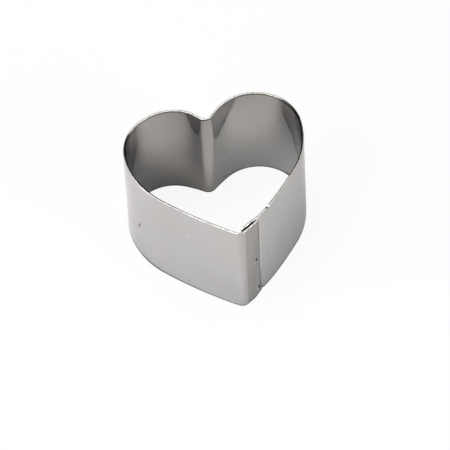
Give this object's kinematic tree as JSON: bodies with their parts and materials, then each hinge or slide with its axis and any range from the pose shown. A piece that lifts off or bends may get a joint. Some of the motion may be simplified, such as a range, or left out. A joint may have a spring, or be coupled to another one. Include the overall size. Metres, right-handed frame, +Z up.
{
  "type": "heart cake ring",
  "caption": "Bottomless heart-shaped cake ring: a strip of bright stainless sheet bent on edge, closed at the point by a spot-welded lap. Shapes cakes, mousse or eggs.",
  "frame": {"origin": "under the middle of the ring's plan, on the plane that its lower rim stands on", "axes": "+X across the heart towards the side with the lap, +Y from the point towards the cleft, +Z up"},
  "size_m": [0.07, 0.064, 0.05],
  "materials": {
    "stainless_sheet": "bright rolled stainless sheet",
    "weld_steel": "dull electrode mark"
  },
  "bodies": {
    "root": {"heart_band": "stainless_sheet", "spot_weld_middle": "weld_steel", "spot_weld_lower": "weld_steel"}
  },
  "joints": []
}
